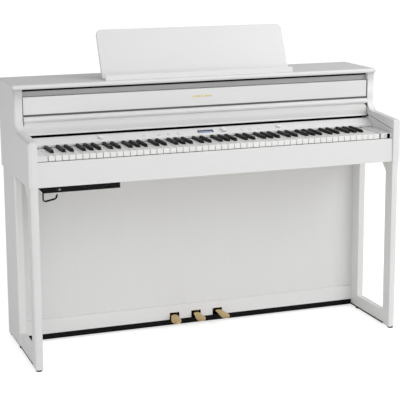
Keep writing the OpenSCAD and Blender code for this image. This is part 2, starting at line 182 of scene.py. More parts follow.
class Shader:
    """A small helper that builds one procedural material on a Principled shader."""

    def __init__(self, name, **sockets):
        self.mat = bpy.data.materials.new(name)
        self.mat.use_nodes = True
        self.nt = self.mat.node_tree
        self.main = self.nt.nodes["Principled BSDF"]
        for key, value in sockets.items():
            socket = self.main.inputs[key.replace("_", " ")]
            socket.default_value = (*value, 1) if isinstance(value, tuple) else value
        self.coord = self.nt.nodes.new("ShaderNodeTexCoord").outputs["Object"]

    def node(self, kind, inputs=None, **props):
        made = self.nt.nodes.new("ShaderNode" + kind)
        for key, value in props.items():
            setattr(made, key, value)
        for key, value in (inputs or {}).items():
            if isinstance(value, bpy.types.NodeSocket):
                self.nt.links.new(value, made.inputs[key])
            else:
                made.inputs[key].default_value = value
        return made

    def stretched(self, scale):
        return self.node("Mapping", {"Vector": self.coord, "Scale": scale}).outputs[0]

    def noise(self, scale, detail=2.0, rough=0.5, stretch=None):
        vector = self.stretched(stretch) if stretch else self.coord
        made = self.node("TexNoise", {"Vector": vector, "Scale": scale, "Detail": detail,
                                      "Roughness": rough})
        return made.outputs["Fac"]

    def span(self, value, low, high, f0=0.25, f1=0.75):
        return self.node("MapRange", {"Value": value, "From Min": f0, "From Max": f1,
                                      "To Min": low, "To Max": high}).outputs["Result"]

    def math(self, operation, a, b=0.0):
        return self.node("Math", {0: a, 1: b}, operation=operation).outputs[0]

    def mix(self, factor, dark, light):
        dark = (*dark, 1) if isinstance(dark, tuple) else dark
        light = (*light, 1) if isinstance(light, tuple) else light
        made = self.node("Mix", data_type="RGBA")
        for key, value in (("Factor_Float", factor), ("A_Color", dark), ("B_Color", light)):
            socket = next(s for s in made.inputs if s.identifier == key)
            if isinstance(value, bpy.types.NodeSocket):
                self.nt.links.new(value, socket)
            else:
                socket.default_value = value
        return next(s for s in made.outputs if s.identifier == "Result_Color")

    def bump(self, height, distance, strength=1.0):
        made = self.node("Bump", {"Height": height, "Distance": distance, "Strength": strength})
        self.nt.links.new(made.outputs[0], self.main.inputs["Normal"])

    def set(self, socket, value):
        self.nt.links.new(value, self.main.inputs[socket])


def shade(colour, k):
    return tuple(min(1.0, c * k) for c in colour)


WHITE = (0.80, 0.80, 0.797)


def lacquer(name, axis, colour=WHITE, contrast=0.014, rough=0.36):
    """Satin white paint over wood whose fine grain still shows along one axis."""
    m = Shader(name, Roughness=rough, Specular_IOR_Level=0.42, Coat_Weight=0.12,
               Coat_Roughness=0.22)
    along = [60.0, 60.0, 60.0]
    along["xyz".index(axis)] = 2.2
    grain = m.noise(2.4, 5.0, 0.62, tuple(along))
    pores = m.noise(9.0, 2.0, 0.5, tuple(along))
    cloud = m.noise(2.1, 2.0)
    tone = m.math("ADD", m.math("MULTIPLY", grain, 0.65), m.math("MULTIPLY", cloud, 0.35))
    m.set("Base Color", m.mix(m.span(tone, 0.0, 1.0, 0.36, 0.64), shade(colour, 1 - contrast),
                              shade(colour, 1 + contrast * 0.4)))
    m.set("Roughness", m.span(m.noise(14.0, 3.0), rough - 0.05, rough + 0.07))
    peel = m.noise(420.0, 1.0)
    height = m.math("ADD", m.math("MULTIPLY", pores, 0.7), m.math("MULTIPLY", peel, 0.3))
    m.bump(height, 0.00006, 0.8)
    return m.mat


def plastic(name, colour, rough=0.42, contrast=0.05, scale=1100.0, bump=0.00003, specular=0.5):
    """Moulded plastic with a fine spark-eroded texture."""
    m = Shader(name, Roughness=rough, Specular_IOR_Level=specular)
    speck = m.noise(scale, 2.0)
    tone = m.math("ADD", m.math("MULTIPLY", speck, 0.5), m.math("MULTIPLY", m.noise(9.0), 0.5))
    m.set("Base Color", m.mix(m.span(tone, 0.0, 1.0, 0.36, 0.64), shade(colour, 1 - contrast),
                              shade(colour, 1 + contrast)))
    m.set("Roughness", m.span(m.noise(40.0), rough - 0.04, rough + 0.05))
    m.bump(speck, bump, 0.7)
    return m.mat


def metal(name, colour, rough=0.25, axis="x", spread=0.09):
    """Brushed or polished metal with hairlines along one axis."""
    m = Shader(name, Metallic=1.0, Roughness=rough)
    along = [1.0, 1.0, 1.0]
    along["xyz".index(axis)] = 0.06
    hair = m.noise(420.0, 3.0, 0.6, tuple(along))
    dull = m.noise(28.0, 3.0)
    m.set("Base Color", m.mix(m.span(dull, 0.0, 1.0), shade(colour, 0.90), shade(colour, 1.06)))
    rough_map = m.math("ADD", m.span(hair, -spread / 2, spread / 2), m.span(dull, rough - 0.03,
                                                                            rough + 0.05))
    m.set("Roughness", rough_map)
    m.bump(hair, 0.00002, 0.5)
    return m.mat


def cloth(name, colour, pitch=0.0011, sheen=0.25, contrast=0.22):
    """Plain-woven cloth or felt: two crossing sets of threads and loose fibres."""
    m = Shader(name, Roughness=0.88, Specular_IOR_Level=0.2, Sheen_Weight=sheen,
               Sheen_Roughness=0.5)
    k = 1.0 / pitch
    waves = [m.node("TexWave", {"Vector": m.coord, "Scale": k / 6.2832, "Distortion": 1.2,
                                "Detail": 1.0, "Detail Scale": 3.0}, bands_direction=axis,
                    wave_type="BANDS").outputs["Fac"] for axis in ("X", "Z")]
    weave = m.math("MULTIPLY", waves[0], waves[1])
    fuzz = m.noise(900.0, 3.0)
    tone = m.math("ADD", m.math("MULTIPLY", weave, 0.6), m.math("MULTIPLY", fuzz, 0.4))
    m.set("Base Color", m.mix(m.span(tone, 0.0, 1.0, 0.15, 0.75), shade(colour, 1 - contrast),
                              shade(colour, 1 + contrast)))
    m.bump(tone, 0.00018, 0.8)
    return m.mat


def raw_board(name, colour):
    """Fibreboard and plywood inside and behind the cabinet."""
    m = Shader(name, Roughness=0.7, Specular_IOR_Level=0.25)
    chips = m.noise(260.0, 4.0, 0.7, (0.5, 1.0, 0.5))
    wide = m.noise(5.0, 3.0)
    tone = m.math("ADD", m.math("MULTIPLY", chips, 0.55), m.math("MULTIPLY", wide, 0.45))
    m.set("Base Color", m.mix(m.span(tone, 0.0, 1.0, 0.35, 0.65), shade(colour, 0.86),
                              shade(colour, 1.06)))
    m.bump(chips, 0.00012, 0.6)
    return m.mat


def ivory_keys():
    """Off-white key tops with the faint lengthwise grain of ivory feel."""
    m = Shader("key_ivory", Roughness=0.3, Specular_IOR_Level=0.5, Coat_Weight=0.15,
               Coat_Roughness=0.15)
    grain = m.noise(34.0, 4.0, 0.6, (14.0, 0.7, 2.0))
    cloud = m.noise(7.0, 2.0)
    tone = m.math("ADD", m.math("MULTIPLY", grain, 0.6), m.math("MULTIPLY", cloud, 0.4))
    m.set("Base Color", m.mix(m.span(tone, 0.0, 1.0, 0.35, 0.65), (0.835, 0.832, 0.82),
                              (0.875, 0.874, 0.864)))
    m.set("Roughness", m.span(grain, 0.26, 0.38))
    m.bump(grain, 0.00003, 0.6)
    return m.mat


def ebony_keys():
    """Matt black with the same faint lengthwise grain."""
    m = Shader("key_ebony", Roughness=0.42, Specular_IOR_Level=0.14, Coat_Weight=0.02,
               Coat_Roughness=0.3)
    grain = m.noise(30.0, 5.0, 0.62, (16.0, 0.6, 4.0))
    m.set("Base Color", m.mix(m.span(grain, 0.0, 1.0, 0.35, 0.65), (0.006, 0.0055, 0.0056),
                              (0.016, 0.0148, 0.0148)))
    m.set("Roughness", m.span(grain, 0.34, 0.5))
    m.bump(grain, 0.00006, 0.8)
    return m.mat


def board_green():
    """Circuit board lacquer over the squares of its tracks."""
    m = Shader("board_green", Roughness=0.45)
    cells = m.node("TexVoronoi", {"Vector": m.coord, "Scale": 180.0}, distance="CHEBYCHEV",
                   feature="F1").outputs["Distance"]
    m.set("Base Color", m.mix(m.span(cells, 0.0, 1.0, 0.3, 0.5), (0.02, 0.13, 0.06),
                              (0.05, 0.24, 0.12)))
    m.bump(cells, 0.0001, 0.5)
    return m.mat


BARS_X, BARS_Y = (-0.0265, 0.0225), (-0.0074, 0.0002)  # the lit block, metres from the middle


def display_screen():
    """A dark panel whose lower part holds a pale block of plain bars."""
    m = Shader("display", Roughness=0.12, Specular_IOR_Level=0.6, Coat_Weight=0.6,
               Coat_Roughness=0.05)
    split = m.node("SeparateXYZ", {0: m.coord})
    x, y = split.outputs[0], split.outputs[1]
    inside_x = m.math("MULTIPLY", m.math("GREATER_THAN", x, BARS_X[0]),
                      m.math("LESS_THAN", x, BARS_X[1]))
    inside_y = m.math("MULTIPLY", m.math("GREATER_THAN", y, BARS_Y[0]),
                      m.math("LESS_THAN", y, BARS_Y[1]))
    bars = m.node("TexBrick", {"Vector": m.coord, "Scale": 1.0, "Mortar Size": 0.0004,
                               "Mortar Smooth": 0.1, "Brick Width": 0.0092, "Row Height": 0.0038,
                               "Color1": (0.26, 0.33, 0.47, 1), "Color2": (0.38, 0.45, 0.58, 1),
                               "Mortar": (0.10, 0.15, 0.32, 1)}).outputs["Color"]
    glow = m.noise(60.0)
    back = m.mix(m.span(glow, 0.0, 1.0), (0.010, 0.022, 0.075), (0.016, 0.035, 0.11))
    picture = m.mix(m.math("MULTIPLY", inside_x, inside_y), back, bars)
    m.set("Base Color", picture)
    m.set("Emission Color", picture)
    m.main.inputs["Emission Strength"].default_value = 0.08
    return m.mat


MATS = {
    "white_x": lacquer("white_finish_x", "x"),
    "white_y": lacquer("white_finish_y", "y"),
    "white_z": lacquer("white_finish_z", "z"),
    "rest": lacquer("white_rest", "x"),
    # the pedal box's white is 4.5% lighter than the cabinet's white: painted light on the box
    "box_white_painted_light": lacquer("white_box_painted_light", "x", shade(WHITE, 1.045)),
    "inner_board": raw_board("inner_board", (0.56, 0.52, 0.45)),
    "back_board": raw_board("back_board", (0.70, 0.695, 0.68)),
    "grille": cloth("grille", (0.45, 0.453, 0.455), 0.0016, 0.2, 0.08),
    # near-black felt; most of the strips, wedges and linings made of it stand in for the shade in
    # gaps and recesses: painted shade
    "dark_felt": cloth("dark_felt", (0.008, 0.008, 0.009), 0.0012, 0.1, 0.3),
    "red_felt": cloth("red_felt", (0.16, 0.03, 0.04), 0.001, 0.4, 0.25),
    # dark grey plastic for the port tongues and the printed socket ticks, also used as painted
    # shade in the fallboard's groove and round the knob bases
    "groove": plastic("dark_grey_and_painted_shade_plastic", (0.10, 0.102, 0.104), 0.6),
    "white_plastic": plastic("white_plastic", (0.84, 0.84, 0.837), 0.36, 0.012),
    # the knobs' white is lighter than the panel's white: a painted highlight on the knobs
    "knob_white": plastic("knob_white", (0.93, 0.93, 0.928), 0.26, 0.01),
    "button": plastic("button_white", (0.76, 0.76, 0.755), 0.34, 0.02),
    "print": plastic("print_grey", (0.60, 0.605, 0.61), 0.5, 0.03),
    "lamp": plastic("lamp_grey", (0.55, 0.50, 0.48), 0.2, 0.05),
    "black_plastic": plastic("black_plastic", (0.006, 0.006, 0.0065), 0.5, 0.25, 700.0, 0.00006,
                             0.1),
    "speaker_black": plastic("speaker_black", (0.03, 0.03, 0.033), 0.7, 0.2, 500.0, 0.0001),
    "rubber": plastic("rubber", (0.016, 0.016, 0.016), 0.8, 0.3, 500.0, 0.00012, 0.25),
    "steel": metal("steel", (0.60, 0.61, 0.62), 0.32),
    "black_steel": metal("black_steel", (0.028, 0.028, 0.03), 0.34),
    "chrome": metal("chrome", (0.78, 0.79, 0.80), 0.14),
    "brass": metal("brass", (0.62, 0.46, 0.235), 0.12, "y", 0.05),
    "gold": metal("gold_inlay", (0.76, 0.66, 0.40), 0.6),
    "ivory": ivory_keys(),
    "ebony": ebony_keys(),
    "board_green": board_green(),
    "display": display_screen(),
}

# ---------------- mesh helpers


SHARP = 35.0  # degrees between faces above which an edge counts as sharp


def modifiers(obj, width, segments=2, weights=False):
    """Soft edges on flat work, with normals that keep the flats flat."""
    bevel = obj.modifiers.new("edges", "BEVEL")
    bevel.width = width * MM
    bevel.segments = segments
    bevel.limit_method = "WEIGHT" if weights else "ANGLE"
    bevel.angle_limit = math.radians(SHARP)
    bevel.use_clamp_overlap = not weights
    bevel.miter_outer = "MITER_ARC"
    normals = obj.modifiers.new("normals", "WEIGHTED_NORMAL")
    normals.keep_sharp = True
    normals.weight = 80


def soften(node, mat, width=0.8, segments=2):
    """A carried-over CAD node with welded corners, soft edges and its finish."""
    obj = NODES[node]
    obj.data.materials.clear()
    obj.data.materials.append(MATS[mat])
    obj.data.polygons.foreach_set("use_smooth", [True] * len(obj.data.polygons))
    weld = obj.modifiers.new("weld", "WELD")
    weld.merge_threshold = 1e-6
    flat = obj.modifiers.new("flat", "DECIMATE")
    flat.decimate_type = "DISSOLVE"
    flat.angle_limit = math.radians(0.5)
    modifiers(obj, width, segments)
    return obj


def make(name, verts, faces, mat, body="cabinet", slot=None, replaces=(), smooth=SHARP,
         place=None):
    """One new piece from vertices in metres and faces, on its body, with its finish."""
    mesh = bpy.data.meshes.new(name)
    mesh.from_pydata([tuple(v) for v in verts], [], faces)
    mesh.validate()
    bm = bmesh.new()
    bm.from_mesh(mesh)
    bmesh.ops.recalc_face_normals(bm, faces=bm.faces)
    bm.to_mesh(mesh)
    bm.free()
    mesh.polygons.foreach_set("use_smooth", [True] * len(mesh.polygons))
    if smooth:
        mesh.set_sharp_from_angle(angle=math.radians(smooth))
    mesh.materials.append(MATS[mat])
    obj = bpy.data.objects.new(name, mesh)
    bpy.context.scene.collection.objects.link(obj)
    if place is not None:
        obj.matrix_world = place
    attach(obj, body)
    if replaces:
        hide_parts(*replaces)
    return obj


def prism(outline, axis, lo, hi, to_point):
    """Vertices and faces of an outline drawn out along one axis, in mm through to_point."""
    n = len(outline)
    verts = []
    for end in (lo, hi):
        for a, b in outline:
            p = {"x": (end, a, b), "y": (a, end, b), "z": (a, b, end)}[axis]
            verts.append(to_point(*p))
    faces = [list(range(n)), list(range(2 * n - 1, n - 1, -1))]
    faces += [[i, i + n, (i + 1) % n + n, (i + 1) % n] for i in range(n)]
    return verts, faces


def local(x, y, z):
    return Vector((x * MM, y * MM, z * MM))


def board(name, outline, axis, lo, hi, mat, width=1.0, segments=3, pick=None, place=None, **kw):
    """An outline drawn out into a solid board. pick(middle, direction) gives an edge's softness
    as a share of width; without it every sharp edge has the whole width."""
    to_point = local if place is not None else at
    verts, faces = prism(outline, axis, lo, hi, to_point)
    obj = make(name, verts, faces, mat, smooth=None, place=place, **kw)
    if pick:
        weight = obj.data.attributes.new("bevel_weight_edge", "FLOAT", "EDGE")
        co = [v.co for v in obj.data.vertices]
        shift = Vector((0, 0, 0)) if place is not None else at(0, 0, 0)
        for e in obj.data.edges:
            a, b = co[e.vertices[0]], co[e.vertices[1]]
            mid = ((a + b) / 2 - shift) / MM
            weight.data[e.index].value = pick(mid, (b - a).normalized())
    modifiers(obj, width, segments, weights=bool(pick))
    return obj


def box(name, lo, hi, mat, width=0.8, segments=2, **kw):
    outline = [(lo[0], lo[1]), (hi[0], lo[1]), (hi[0], hi[1]), (lo[0], hi[1])]
    return board(name, outline, "z", lo[2], hi[2], mat, width, segments, **kw)


def felt(name, lo, hi, width=0.2):
    """A strip of dark felt, from corner to corner; most of these strips are painted shade in a
    gap.
    """
    box(name, lo, hi, "dark_felt", width, slot="dark_felt")


def arc(cx, cy, r, a0, a1, n):
    return [(cx + r * math.cos(math.radians(a0 + (a1 - a0) * i / n)),
             cy + r * math.sin(math.radians(a0 + (a1 - a0) * i / n))) for i in range(n + 1)]


def rounded(x0, x1, y0, y1, r, n=6):
    return (arc(x1 - r, y0 + r, r, -90, 0, n) + arc(x1 - r, y1 - r, r, 0, 90, n)
            + arc(x0 + r, y1 - r, r, 90, 180, n) + arc(x0 + r, y0 + r, r, 180, 270, n))


def loft(rings, caps=True):
    """Faces between closed rings of equal length; rings are lists of points in metres."""
    n = len(rings[0])
    verts = [p for ring in rings for p in ring]
    faces = []
    for k in range(len(rings) - 1):
        for i in range(n):
            j = (i + 1) % n
            faces.append([k * n + i, k * n + j, (k + 1) * n + j, (k + 1) * n + i])
    if caps:
        faces.append(list(range(n)))
        faces.append([(len(rings) - 1) * n + i for i in range(n - 1, -1, -1)])
    return verts, faces


def lathe(profile, segments=48, ripple=None, offset=(0, 0, 0)):
    """Rings of a turned part about local Z; profile is (radius, height) in mm."""
    rings = []
    for r, h in profile:
        ring = []
        for i in range(segments):
            a = 2 * math.pi * i / segments
            k = ripple(r, h, a) if ripple else 1.0
            ring.append(local(offset[0] + r * k * math.cos(a), offset[1] + r * k * math.sin(a),
                              offset[2] + h))
        rings.append(ring)
    return loft(rings)


def joined(parts):
    verts, faces = [], []
    for v, f in parts:
        base = len(verts)
        verts += list(v)
        faces += [[i + base for i in face] for face in f]
    return verts, faces


def turned_to(axis, origin):
    """A matrix that takes local Z to an axis at a point of the frame."""
    turn = Vector((0, 0, 1)).rotation_difference(Vector(axis)).to_matrix().to_4x4()
    return Matrix.Translation(origin) @ turn


def moved(part, matrix):
    return [matrix @ v for v in part[0]], part[1]


def tube(path, radius, sides=16):
    """A round bar along a smooth path, with domed ends; the path is in metres."""
    pts = [Vector(p) for p in path]
    rings, side = [], None
    steps = [(0, 0.35), (0, 0.75)] + [(i, 1.0) for i in range(len(pts))]
    steps += [(len(pts) - 1, 0.75), (len(pts) - 1, 0.35)]
    for k, (i, size) in enumerate(steps):
        ahead = (pts[min(i + 1, len(pts) - 1)] - pts[max(i - 1, 0)]).normalized()
        if side is None:
            side = ahead.orthogonal().normalized()
        side = (side - ahead * side.dot(ahead)).normalized()
        other = ahead.cross(side)
        push = 0.0
        if k < 2:
            push = -math.sqrt(1 - size * size) * radius
        elif k > len(steps) - 3:
            push = math.sqrt(1 - size * size) * radius
        rings.append([pts[i] + ahead * push + (side * math.cos(a) + other * math.sin(a))
                      * radius * size for a in (2 * math.pi * j / sides for j in range(sides))])
    return loft(rings)


def cut(obj, cutters):
    """Takes cutter solids out of a piece for good, before its edges are softened."""
    stack = [m.name for m in obj.modifiers]
    for name in stack:
        obj.modifiers[name].show_viewport = False
    for part in cutters:
        mesh = bpy.data.meshes.new("cutter")
        mesh.from_pydata([tuple(v) for v in part[0]], [], part[1])
        bm = bmesh.new()
        bm.from_mesh(mesh)
        bmesh.ops.recalc_face_normals(bm, faces=bm.faces)
        bm.to_mesh(mesh)
        bm.free()
        tool = bpy.data.objects.new("cutter", mesh)
        bpy.context.scene.collection.objects.link(tool)
        tool.matrix_world = obj.matrix_world
        mod = obj.modifiers.new("cut", "BOOLEAN")
        mod.operation, mod.solver, mod.object = "DIFFERENCE", "EXACT", tool
        bpy.context.view_layer.update()
        graph = bpy.context.evaluated_depsgraph_get()
        fresh = bpy.data.meshes.new_from_object(obj.evaluated_get(graph))
        obj.modifiers.remove(mod)
        obj.data = fresh
        bpy.data.objects.remove(tool)
    for name in stack:
        obj.modifiers[name].show_viewport = True
    return obj


# ---------------- cabinet

HALF_W, INNER_X, DEPTH, SIDE_BACK = 688.0, 658.0, 467.0, 465.0
ARM_LOW, ARM_TOP, UPPER_FRONT, TOP_UNDER, TOP = 635.5, 790.0, 212.0, 938.0, 954.0
ARM_SLOPE, FILLET = 3.3, 41.0
LID_Y, LID_Z = 214.5, 779.5
SEAM_RISE, SEAM_BACK, SEAM_Z = 8.5, 190.0, 781.0


def seam_corners(start, end, half):
    """The rising seam on the inner side of an arm, as a slim four-cornered outline."""
    c, s = math.cos(math.radians(SEAM_RISE)), math.sin(math.radians(SEAM_RISE))
    return [(SEAM_BACK + a * c - b * s, SEAM_Z + a * s + b * c)
            for a, b in ((start, -half), (end, -half), (end, half), (start, half))]


def side_outline():
    slope = math.tan(math.radians(ARM_SLOPE))
    zc = ARM_TOP + (UPPER_FRONT - FILLET) * slope + FILLET / math.cos(math.radians(ARM_SLOPE))
    return ([(SIDE_BACK, ARM_LOW), (SIDE_BACK, TOP_UNDER), (UPPER_FRONT, TOP_UNDER)]
            + arc(UPPER_FRONT - FILLET, zc, FILLET, 0, ARM_SLOPE - 90, 20)
            + [(0, ARM_TOP), (0, ARM_LOW)])


def side_panel(name, side):
    """Thick side whose outer front and arm edges are fully rounded over."""
    lo, hi = sorted((side * INNER_X, side * HALF_W))

    def pick(mid, way):
        if abs(way.x) > 0.9:
            front_top = mid.y < 1 and mid.z > ARM_TOP - 1
            low = mid.z < ARM_LOW + 1
            return 0.42 if front_top else (0.08 if low or mid.y > 460 else 0.0)
        if mid.z > TOP_UNDER - 1 or mid.z < ARM_LOW + 1 or mid.y > SIDE_BACK - 1:
            return 0.08
        return 1.0 if abs(mid.x) > HALF_W - 1 else 0.12

    obj = board(name, side_outline(), "x", lo, hi, "white_z", 11.0, 6, pick,
                slot="white_finish", replaces=(name,))
    hole = tube([at(side * (INNER_X - 2), LID_Y, LID_Z), at(side * (INNER_X + 11), LID_Y, LID_Z)],
                3.05 * MM, 24)
    seam_in, seam_out = side * (INNER_X - 2), side * (INNER_X + 2.5)
    seam = prism(seam_corners(-185, 0, 1.1), "x", *sorted((seam_in, seam_out)), at)
    return cut(obj, [hole, seam])


side_panel("left_side_panel", -1)
side_panel("right_side_panel", 1)


def top_board():
    outline = ([(DEPTH, TOP_UNDER), (DEPTH, TOP)] + arc(215, TOP - 7, 7, 90, 180, 7)
               + arc(215, TOP_UNDER + 7, 7, 180, 270, 7))

    def pick(mid, way):
        if abs(way.x) > 0.9:
            return 0.3 if mid.y > DEPTH - 1 else 0.0
        return 1.0 if mid.z > TOP_UNDER + 2 else 0.4

    board("top_board", outline, "x", -690.5, 690.5, "white_x", 3.0, 4, pick,
          slot="white_finish", replaces=("top_board",))


top_board()

soften("back_panel", "back_board", 0.6)
# the lid well is lined in dark felt, which also serves as painted shade for the gap above the
# control panel
soften("lid_well", "dark_felt", 0.5)
soften("key_bed", "inner_board", 0.8)
soften("key_slip", "white_x", 1.0, 3)
soften("left_key_block", "white_y", 1.4, 3)
soften("right_key_block", "white_y", 1.4, 3)
soften("knee_panel", "white_z", 0.4)
# the pedal box takes the lighter white, as painted light
soften("pedal_box", "box_white_painted_light", 0.5, 2)
soften("kick_strip", "black_plastic", 1.0)
soften("foot_rails", "white_y", 1.8, 3)
for leg in ("left_front_leg", "left_rear_leg", "right_front_leg", "right_rear_leg"):
    soften(leg, "white_z", 1.8, 3)
soften("music_ledge", "rest", 0.9, 3)
soften("rest_hinges", "steel", 0.3)
soften("key_frame", "inner_board", 0.6)
soften("circuit_board", "board_green", 0.3)
soften("speakers", "speaker_black", 0.6)
soften("power_inlet", "black_plastic", 0.6)
soften("pedal_brackets", "steel", 0.5)
soften("fallboard_pivots", "steel", 0.3)
soften("control_panel", "white_plastic", 0.5, 2)
soften("fallboard_flap", "white_x", 1.0, 3)


def grille():
    """Cloth-covered strip below the top board."""
    cloth_box = [(-657.5, 912.2), (657.5, 912.2), (657.5, 929.8), (-657.5, 929.8)]
    board("sound_grille", cloth_box, "y", 228.4, 232, "grille", 0.8, 3, slot="grille",
          replaces=("sound_grille",))


grille()

# ---------------- fallboard

LID_HALF = 655.5


def fallboard():
    bulge = [(213.5 - 3 * math.sin(math.pi * i / 20), 784 + 2 * i) for i in range(1, 20)]
    outline = ([(222, 911), (222, 777.6), (212, 777.6), (211.2, 778.2), (211.2, 780),
                (213.5, 781.2), (213.5, 784)] + bulge + [(213.5, 824)]
               + arc(213, 833, 9, -80, -258, 24)
               + [(217.5, 843), (217.5, 850), (215.5, 851), (215.5, 911)])

    def pick(mid, way):
        if abs(way.x) > 0.9:
            return 0.8 if mid.z > 910 or (mid.z > 850 and mid.z < 852 and mid.y < 216) else 0.0
        return 1.0

    board("fallboard", outline, "x", -LID_HALF, LID_HALF, "white_x", 0.9, 3, pick,
          body="fallboard", slot="white_finish", replaces=("fallboard",))
    # a dark strip in the groove below the bead: painted shade for the recess
    box("groove_painted_shade_strip", (-LID_HALF + 1, 216.9, 843.2), (LID_HALF - 1, 217.7, 849.9), "groove",
        0.2, body="fallboard", slot="grille")


fallboard()


def inlay():
    """Plain gold ornament on the upper board: a lozenge between two tapering bars."""
    mid_x, mid_z, y0, y1 = -3.0, 884.0, 215.38, 215.6
    for k, outline in enumerate((
            [(-6, 0), (0, -5), (6, 0), (0, 5)],
            [(-39, 0), (-33, -3.2), (-8, -4.2), (-8, 4.2), (-33, 3.2)],
            [(39, 0), (33, 3.2), (8, 4.2), (8, -4.2), (33, -3.2)])):
        shape = [(mid_x + a, mid_z + b) for a, b in outline]
        board(f"gold_inlay_{k + 1}", shape, "y", y0, y1, "gold", 0.05, 1, body="fallboard",
              slot="brass")


inlay()

# ---------------- keys

PITCH, GAP, KEY_TOP, KEY_FRONT, HEAD_LEN, KEY_REAR = 23.6, 1.0, 740.0, 12.0, 52.0, 240.0
KEY_LEFT = -619.1
HEAD_UNDER, TAIL_UNDER = 722.1, 723.0
BLACK_W, BLACK_TOP_W, BLACK_RISE = 12.0, 9.8, 10.0
HEAD_GAP = 1.9
SLOT_W = BLACK_W + 2 * GAP
TAIL_CE = (3 * PITCH - 2 * SLOT_W) / 3
TAIL_FB = (4 * PITCH - 3 * SLOT_W) / 4
WHITE_STEP = [0, 0, 1, 1, 2, 3, 3, 4, 4, 5, 5, 6]
IS_BLACK = [0, 1, 0, 1, 0, 0, 1, 0, 1, 0, 1, 0]
NOTES = ["c", "c_sharp", "d", "d_sharp", "e", "f", "f_sharp", "g", "g_sharp", "a", "a_sharp",
         "b"]


def tail_left(k):
    """How far right of its octave's C a white key's tail starts."""
    if k < 5:
        return (TAIL_CE + SLOT_W) * (k // 2)
    return 3 * PITCH + (TAIL_FB + SLOT_W) * ((k - 5) // 2)


def tail_w(k):
    return TAIL_CE if k < 5 else TAIL_FB


def white_key(n):
    """Key solid as a closed mesh: a wide head and a narrow tail beside the black keys."""
    k, octave = (n + 9) % 12, (n + 9) // 12
    base = KEY_LEFT + PITCH * (7 * octave - 5)
    x0 = KEY_LEFT + PITCH * (7 * octave + WHITE_STEP[k] - 5)
    h0, h1 = x0 + HEAD_GAP / 2, x0 + PITCH - HEAD_GAP / 2
    t0 = h0 if n == 0 or k in (0, 5) else base + tail_left(k)
    t1 = h1 if n == 87 or k in (4, 11) else base + tail_left(k) + tail_w(k)
    neck = KEY_FRONT + HEAD_LEN
    plan = [(h0, KEY_FRONT), (h1, KEY_FRONT), (h1, neck)]
    plan += [(t1, neck)] if t1 != h1 else []
    plan += [(t1, KEY_REAR), (t0, KEY_REAR)]
    plan += [(t0, neck)] if t0 != h0 else []
    plan += [(h0, neck)]
    verts = [at(x, y, KEY_TOP) for x, y in plan]
    verts += [at(x, y, HEAD_UNDER if y <= neck else TAIL_UNDER) for x, y in plan]
    m = len(plan)
    faces = [list(range(m))]
    faces += [[i, i + m, (i + 1) % m + m, (i + 1) % m] for i in range(m)]
    low = {p: i + m for i, p in enumerate(plan)}
    head = [(h0, KEY_FRONT), (h1, KEY_FRONT), (h1, neck), (t1, neck), (t0, neck), (h0, neck)]
    tail = [(t1, neck), (t1, KEY_REAR), (t0, KEY_REAR), (t0, neck)]
    for loop in (head, tail):
        seen = list(dict.fromkeys(low[p] for p in loop))
        faces.append(seen[::-1])
    return verts, faces


def black_key(n):
    """Key with tapered sides, a rounded crown and a sloping nose."""
    k, octave = (n + 9) % 12, (n + 9) // 12
    base = KEY_LEFT + PITCH * (7 * octave - 5)
    mid = base + tail_left(k - 1) + tail_w(k - 1) + SLOT_W / 2
    crown = KEY_TOP + BLACK_RISE
    nose = [(67.5, 739.6), (67.9, 742.2), (68.8, 745.4), (70.1, 747.7), (71.7, 749.1),
            (73.8, 749.8), (77.0, crown)]
    stations = nose + [(120.0, crown), (163.0, crown), (165.9, crown - 0.2), (166.0, 739.0),
                       (KEY_REAR, 739.0)]
    rings = []
    for y, z in stations:
        rise = max(0.0, min(1.0, (z - KEY_TOP) / (crown - KEY_TOP)))
        half = BLACK_W / 2 - (BLACK_W - BLACK_TOP_W) / 2 * rise
        r = 1.7 * rise + 0.15
        side = [(-BLACK_W / 2, TAIL_UNDER), (-BLACK_W / 2, min(z - r, KEY_TOP - 1.0))]
        side += [(-half, z - r), (-half + 0.29 * r, z - 0.29 * r), (-half + r, z - 0.02)]
        top = [(0.0, z)]
        ring = side + top + [(-a, b) for a, b in reversed(side)]
        rings.append([at(mid + a, y, b) for a, b in ring])
    return loft(rings)


def key_group(k):
    note = NOTES[k]
    maker = black_key if IS_BLACK[k] else white_key
    verts, faces = joined([maker(n) for n in range(88) if (n + 9) % 12 == k])
    black = bool(IS_BLACK[k])
    obj = make("keys_" + note, verts, faces, "ebony" if black else "ivory", "keys_" + note,
               "key_ebony" if black else "key_ivory", ("keys_" + note,), smooth=38.0)
    if black:
        return
    weight = obj.data.attributes.new("bevel_weight_edge", "FLOAT", "EDGE")
    co = [v.co for v in obj.data.vertices]
    for e in obj.data.edges:
        a, b = co[e.vertices[0]], co[e.vertices[1]]
        upper = min(a.z, b.z) > (KEY_TOP - 1) * MM
        front = max(a.y, b.y) < KEY_FRONT * MM + FRONT + 1e-5
        weight.data[e.index].value = (1.0 if upper and front else 0.65 if upper else
                                      0.4 if front else 0.12)
    modifiers(obj, 1.3, 3, weights=True)


for group in range(12):
    key_group(group)

box("key_felt", (KEY_LEFT, 171.7, 741.0), (608, 175.7, 743.2), "red_felt", 0.6, slot="dark_felt")

# ---------------- control panel

PANEL_FRONT, PANEL_LIP, PANEL_BACK, PANEL_HIGH = 168.0, 749.0, 212.0, 769.0
SLOPE = math.atan2(PANEL_HIGH - PANEL_LIP, PANEL_BACK - PANEL_FRONT)
BUTTONS = {"power_button": -234.0, "left_button_1": -176.0, "left_button_2": -140.0,
           "left_button_3": -104.0, "right_button_1": 137.0, "right_button_2": 171.0,
           "right_button_3": 205.0}
BUTTON_T = 0.42  # how far up the slope the buttons sit
VOLUME_X, TONE_X, DIAL_X, KNOB_R = -389.0, 283.5, 70.0, 8.0


def on_slope(x, t=0.5):
    place = at(x, PANEL_FRONT + t * (PANEL_BACK - PANEL_FRONT),
               PANEL_LIP + t * (PANEL_HIGH - PANEL_LIP))
    return Matrix.Translation(place) @ Matrix.Rotation(SLOPE, 4, "X")


